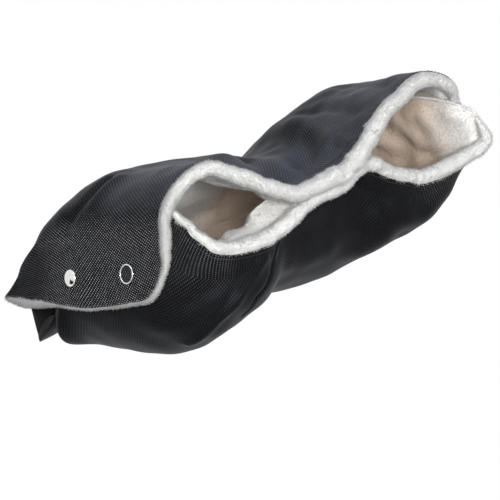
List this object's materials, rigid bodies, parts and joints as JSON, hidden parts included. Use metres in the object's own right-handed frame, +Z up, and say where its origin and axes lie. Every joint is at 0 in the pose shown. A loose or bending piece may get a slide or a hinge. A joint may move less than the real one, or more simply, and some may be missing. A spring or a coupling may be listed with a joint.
{
  "type": "stroller hand muff",
  "caption": "Padded, plush-lined hand muff folded over a pram or stroller handlebar, with two hand openings at the front and a snapped flap at each end.",
  "frame": {"origin": "middle of the handlebar's tunnel, halfway along the muff", "axes": "+X along the handlebar, to the right of someone who pushes the stroller; +Y forward to the stroller; +Z up. The folded sheet is raked 17 degrees about X, so that its fold lies lower than its hand openings"},
  "size_m": [0.4858, 0.242, 0.2317],
  "materials": {
    "nylon_shell": "matte woven nylon with a faint sheen",
    "wadding": "soft polyester wadding",
    "fleece_lining": "plush pile",
    "fleece_edge": "plush pile, turned out",
    "hook_tape": "hook tape",
    "loop_tape": "loop tape",
    "polished_nickel": "polished",
    "plain_nickel": "plain nickel plate",
    "spring_steel": "bright wire"
  },
  "bodies": {
    "lower_half": {"lower_shell": "nylon_shell", "lower_padding": "wadding", "lower_lining": "fleece_lining", "lower_fleece_lip": "fleece_edge", "loop_patch": "loop_tape", "left_front_snap_stud": "plain_nickel", "left_front_snap_post": "plain_nickel", "left_rear_snap_stud": "plain_nickel", "left_rear_snap_post": "plain_nickel", "right_front_snap_stud": "plain_nickel", "right_front_snap_post": "plain_nickel", "right_rear_snap_stud": "plain_nickel", "right_rear_snap_post": "plain_nickel"},
    "upper_half": {"upper_shell": "nylon_shell", "upper_padding": "wadding", "upper_lining": "fleece_lining", "upper_fleece_lip": "fleece_edge", "hook_patch": "hook_tape"},
    "left_flap": {"left_flap_shell": "nylon_shell", "left_flap_padding": "wadding", "left_flap_lining": "fleece_lining", "left_flap_fleece_trim": "fleece_edge", "left_front_snap_cap": "polished_nickel", "left_front_snap_socket": "plain_nickel", "left_front_snap_spring": "spring_steel", "left_rear_snap_cap": "polished_nickel", "left_rear_snap_socket": "plain_nickel", "left_rear_snap_spring": "spring_steel"},
    "right_flap": {"right_flap_shell": "nylon_shell", "right_flap_padding": "wadding", "right_flap_lining": "fleece_lining", "right_flap_fleece_trim": "fleece_edge", "right_front_snap_cap": "polished_nickel", "right_front_snap_socket": "plain_nickel", "right_front_snap_spring": "spring_steel", "right_rear_snap_cap": "polished_nickel", "right_rear_snap_socket": "plain_nickel", "right_rear_snap_spring": "spring_steel"}
  },
  "joints": [
    {"name": "fold", "type": "hinge", "parent": "lower_half", "child": "upper_half", "pos_m": [0, 0.10413, -0.05275], "axis": [-1, 0, 0], "range_deg": [0, 100]},
    {"name": "left_flap_hinge", "type": "hinge", "parent": "upper_half", "child": "left_flap", "pos_m": [-0.2055, 0.01754, 0.05738], "axis": [0, 0.9563, -0.2924], "range_deg": [0, 110]},
    {"name": "right_flap_hinge", "type": "hinge", "parent": "upper_half", "child": "right_flap", "pos_m": [0.22701, 0.02164, 0.07077], "axis": [0, -0.9563, 0.2924], "range_deg": [0, 110]}
  ]
}
